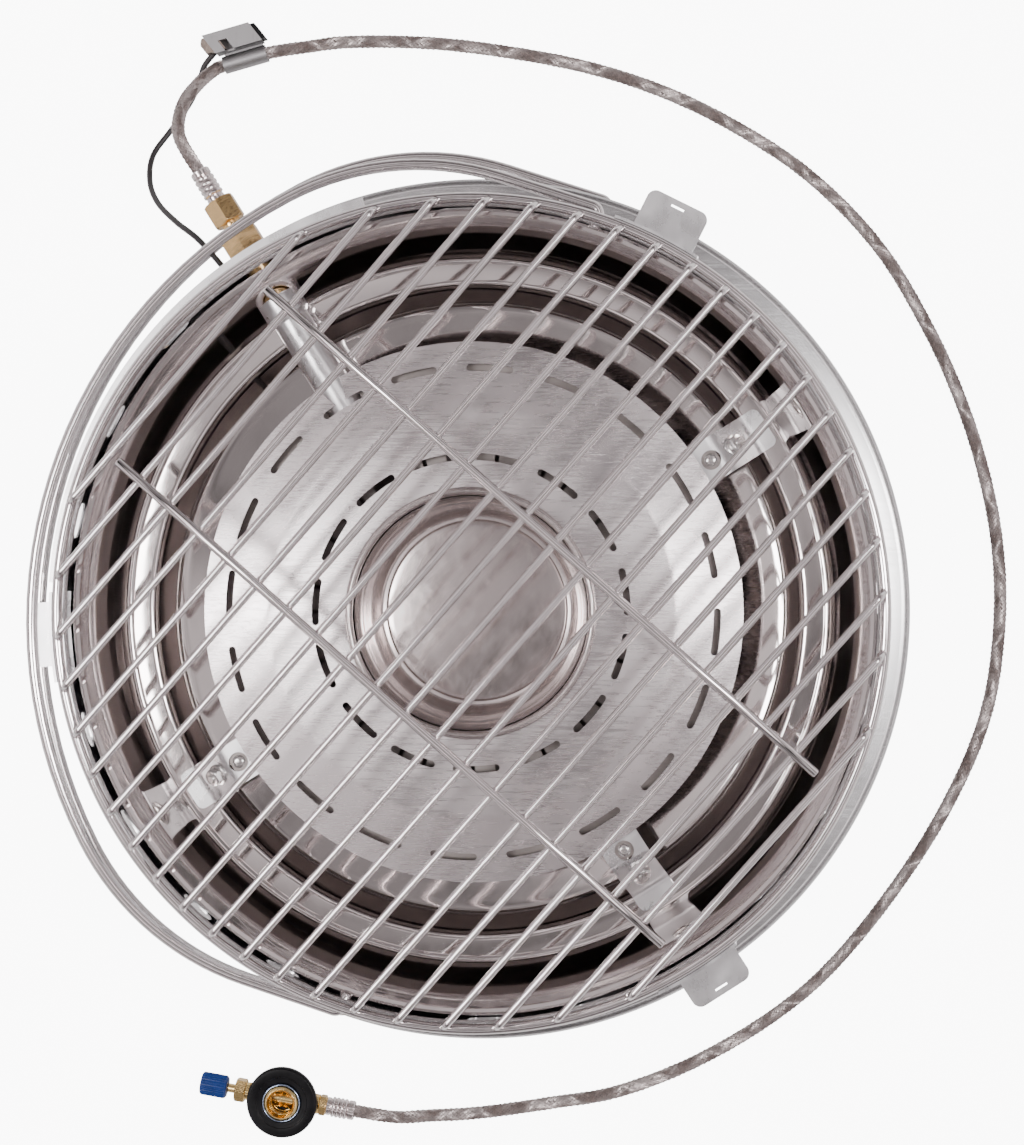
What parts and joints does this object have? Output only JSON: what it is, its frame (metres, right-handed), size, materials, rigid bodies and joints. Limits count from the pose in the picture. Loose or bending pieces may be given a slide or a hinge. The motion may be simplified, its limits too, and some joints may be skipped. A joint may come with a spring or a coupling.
{
  "type": "portable gas heater",
  "caption": "Round portable gas heater with a dished mirror reflector, wire guard, folding wire stands, braided hose, inline igniter and screw-on canister valve.",
  "frame": {"origin": "centre of the flat back face, on the dish's axis", "axes": "+Z from the back face out through the guard; the gas inlet is 122 degrees from +X towards +Y"},
  "size_m": [0.4266, 0.4967, 0.1009],
  "materials": {
    "wire": "polished",
    "mirror_steel": "mirror polished",
    "satin_steel": "brushed along the plate",
    "cup_steel": "satin",
    "casing_steel": "bright rolled",
    "dark_steel": "heat darkened",
    "brass": "machined",
    "bracket_steel": "satin",
    "fastener_steel": "plated",
    "ceramic": "glazed",
    "black_rubber": "matt",
    "dark_sleeve": "satin",
    "braid": "woven wire",
    "crimp_metal": "satin",
    "igniter_metal": "satin",
    "black_plastic": "glossy",
    "button_metal": "polished",
    "collar_black": "glossy",
    "blue_chrome": "tinted polish",
    "blue_knob": "satin"
  },
  "bodies": {
    "heater": {"rear_shell": "casing_steel", "outer_casing": "casing_steel", "carrying_flange": "casing_steel", "outer_reflector": "mirror_steel", "inner_reflector": "mirror_steel", "heat_plate": "satin_steel", "hub_ring": "satin_steel", "hub_cup": "cup_steel", "burner_pan": "dark_steel", "burner_grid": "dark_steel", "venturi_tube": "casing_steel", "gas_jet": "brass", "inlet_fitting": "brass", "inlet_nut": "brass", "hose_nut": "brass", "inlet_ferrule": "crimp_metal", "inlet_shield": "casing_steel", "guard_ring": "wire", "guard_rods": "wire", "guard_cross_rods": "wire", "guard_clip_1": "casing_steel", "guard_clip_2": "casing_steel", "guard_clip_3": "casing_steel", "clip_backings": "casing_steel", "clip_rivets": "fastener_steel", "plate_bracket_1": "bracket_steel", "plate_bracket_2": "bracket_steel", "plate_bracket_3": "bracket_steel", "bracket_nuts": "fastener_steel", "bracket_studs": "fastener_steel", "tab_rivets": "fastener_steel", "electrode_ceramic": "ceramic", "electrode_wire": "fastener_steel", "electrode_lead": "dark_sleeve", "lead_bushing": "black_rubber", "ignition_lead": "dark_sleeve", "igniter_housing": "igniter_metal", "igniter_unit": "black_plastic", "gas_hose": "braid", "valve_ferrule": "crimp_metal", "valve_hose_nut": "brass", "valve_body": "brass", "valve_collar": "collar_black", "collar_ring": "blue_chrome", "socket_seal": "black_rubber", "depressor_pin": "brass", "packing_nut": "brass", "pivot_plates_front": "casing_steel", "pivot_plates_rear": "casing_steel", "plate_rivets": "fastener_steel"},
    "front_stand": {"front_loop": "wire", "loop_washers_front": "fastener_steel"},
    "rear_stand": {"rear_loop": "wire", "loop_washers_rear": "fastener_steel"},
    "control_knob": {"valve_knob": "blue_knob", "valve_spindle": "brass"},
    "ignition_button": {"igniter_button": "button_metal"}
  },
  "joints": [
    {"name": "front_stand_swing", "type": "hinge", "parent": "heater", "child": "front_stand", "pos_m": [0, 0, 0.074], "axis": [0.309, 0.9511, 0], "range_deg": [0, 75]},
    {"name": "rear_stand_swing", "type": "hinge", "parent": "heater", "child": "rear_stand", "pos_m": [0, 0, 0.038], "axis": [-0.309, -0.9511, 0], "range_deg": [0, 75]},
    {"name": "gas_control_turn", "type": "hinge", "parent": "heater", "child": "control_knob", "pos_m": [-0.119, -0.2157, 0.009], "axis": [0.9866, -0.1633, 0], "range_deg": [0, 540]},
    {"name": "ignition_push", "type": "slide", "parent": "heater", "child": "ignition_button", "axis": [0.9646, 0.2639, 0], "range_m": [0, 0.003], "stiffness_N_per_m": 2000, "springref_m": -0.002}
  ]
}
